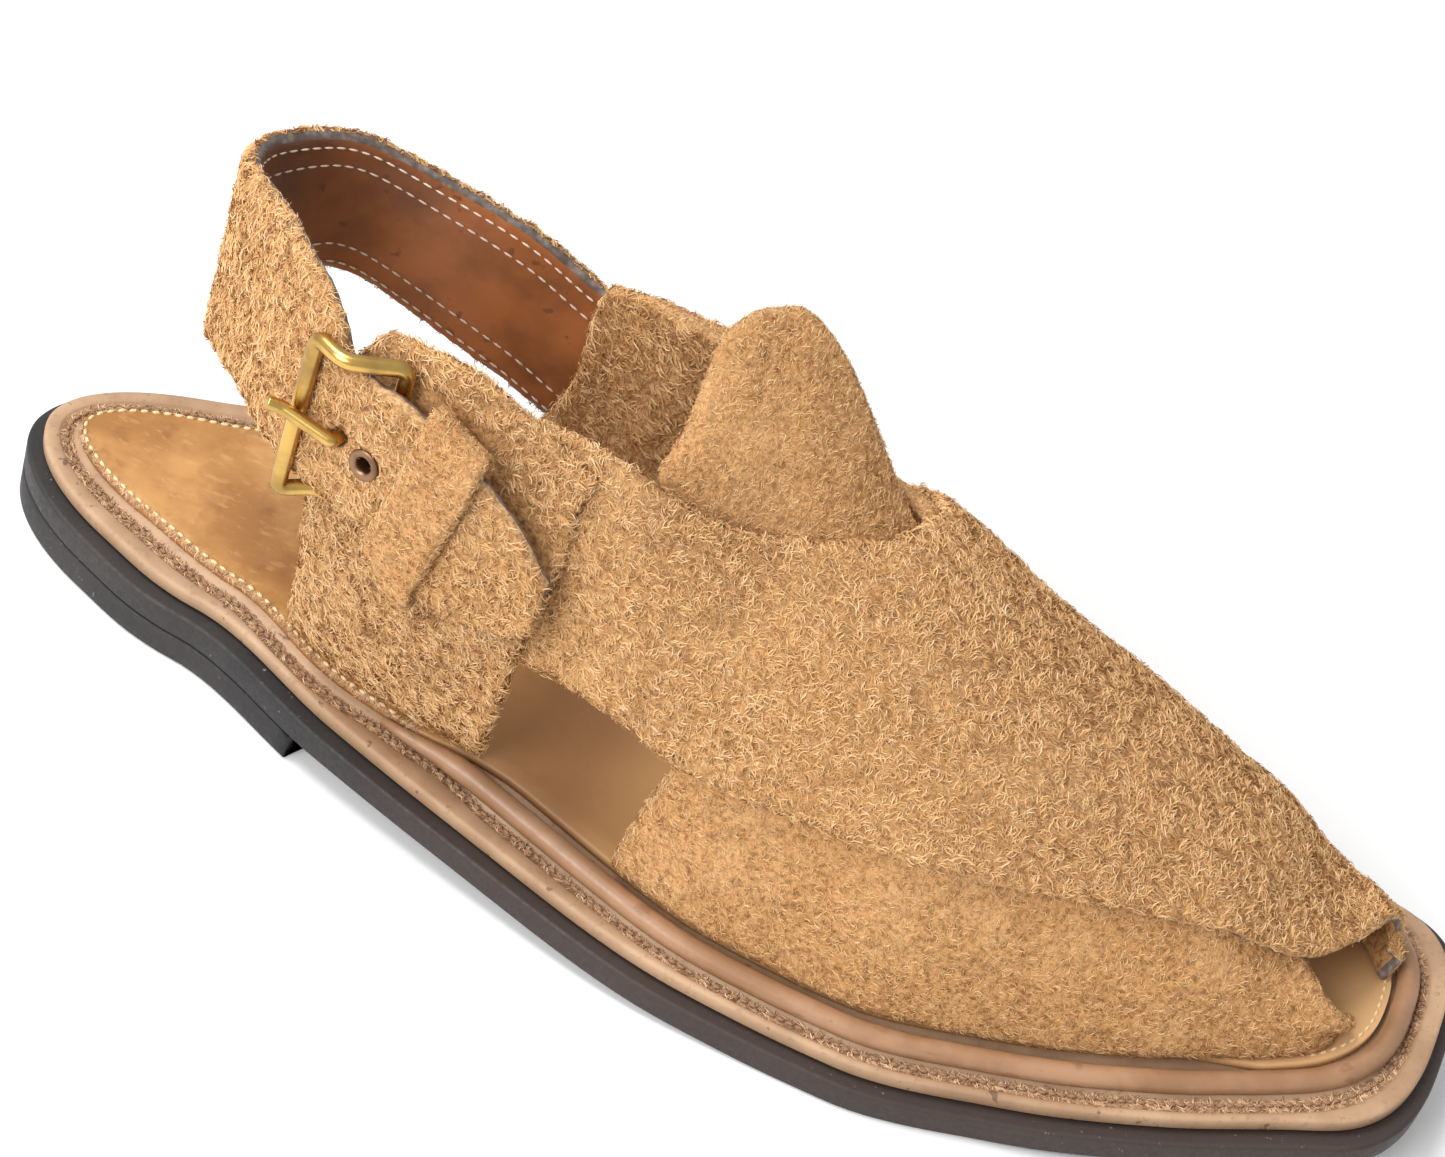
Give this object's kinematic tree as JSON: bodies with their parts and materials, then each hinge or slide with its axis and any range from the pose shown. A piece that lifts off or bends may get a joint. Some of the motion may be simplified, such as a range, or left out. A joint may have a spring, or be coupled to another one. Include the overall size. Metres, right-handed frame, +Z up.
{
  "type": "sandal",
  "caption": "Right-foot sandal with crossed suede vamp straps, a tongue, a buckled heel strap and a low rubber sole.",
  "frame": {"origin": "centre of the bounding box on the floor, under the shoe", "axes": "+X runs from the heel to the toe, +Y to the inner side of the foot, +Z up"},
  "size_m": [0.305, 0.1109, 0.1184],
  "materials": {
    "sole rubber": "matt charcoal, a little brown at the waist",
    "welt leather": "dull taupe, with a fuzzy stitched groove",
    "rand leather": "satin tan",
    "insole leather": "shiny golden tan with a stitched edge",
    "suede": "long rough nap with painted cut edges",
    "brass": "worn yellow brass",
    "bronze": "dark bronze"
  },
  "bodies": {
    "root": {"heel_lift": "sole rubber", "outsole": "sole rubber", "midsole": "welt leather", "rand": "rand leather", "insole": "insole leather", "upper": "suede", "tongue": "suede", "heel_strap": "suede", "keeper": "suede", "buckle_frame": "brass", "buckle_prong": "brass", "eyelet": "bronze"}
  },
  "joints": []
}
